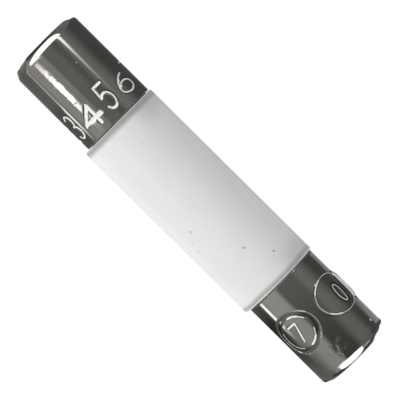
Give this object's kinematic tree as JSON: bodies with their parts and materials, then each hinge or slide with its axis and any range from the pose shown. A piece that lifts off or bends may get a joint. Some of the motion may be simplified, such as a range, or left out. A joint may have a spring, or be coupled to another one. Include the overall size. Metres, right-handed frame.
{
  "type": "ceramic cartridge fuse",
  "caption": "Round cartridge fuse: a stepped ceramic tube with a drawn metal cap on each end, and a wound wire element in a sand filling inside it.",
  "frame": {"origin": "centre of the flat end face of the bottom cap, which the fuse stands on", "axes": "+Z along the fuse's axis, from the bottom cap to the top cap; the belly of the ceramic is out of true towards -X by 0.12 mm, and apart from that the fuse is round"},
  "size_m": [0.0066, 0.0066, 0.032],
  "materials": {
    "ceramic": "matte",
    "nickel_plate": "polished",
    "quartz_sand": "matte",
    "core_yarn": "matte",
    "tinned_wire": "satin",
    "solder": "satin"
  },
  "bodies": {
    "root": {"ceramic_tube": "ceramic", "top_cap": "nickel_plate", "bottom_cap": "nickel_plate", "sand_filling": "quartz_sand", "element_core": "core_yarn", "element_wire": "tinned_wire", "top_solder": "solder", "bottom_solder": "solder"}
  },
  "joints": []
}
